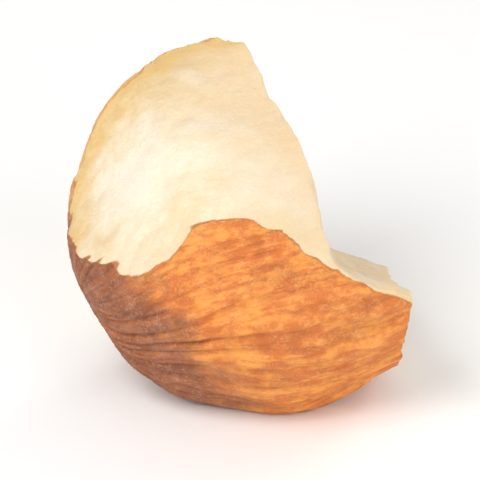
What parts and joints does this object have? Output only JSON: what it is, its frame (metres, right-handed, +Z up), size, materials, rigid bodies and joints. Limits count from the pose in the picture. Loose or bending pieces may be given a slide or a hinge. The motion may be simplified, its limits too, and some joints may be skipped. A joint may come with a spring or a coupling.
{
  "type": "chopped almond piece",
  "caption": "Chopped almond piece: the rounded blunt end of a kernel, with ridged brown skin below and pale knife-cut flesh on top, lying on a small flat spot.",
  "frame": {"origin": "under the middle of the piece's box, on the surface it lies on", "axes": "+Z up; -Y towards the side that shows the skin and the sloping top chop; +X to the right of that side, along the longest extent"},
  "size_m": [0.009, 0.0086, 0.0081],
  "materials": {
    "almond": "matte ridged skin with waxy cut flesh"
  },
  "bodies": {
    "root": {"almond_piece": "almond"}
  },
  "joints": []
}
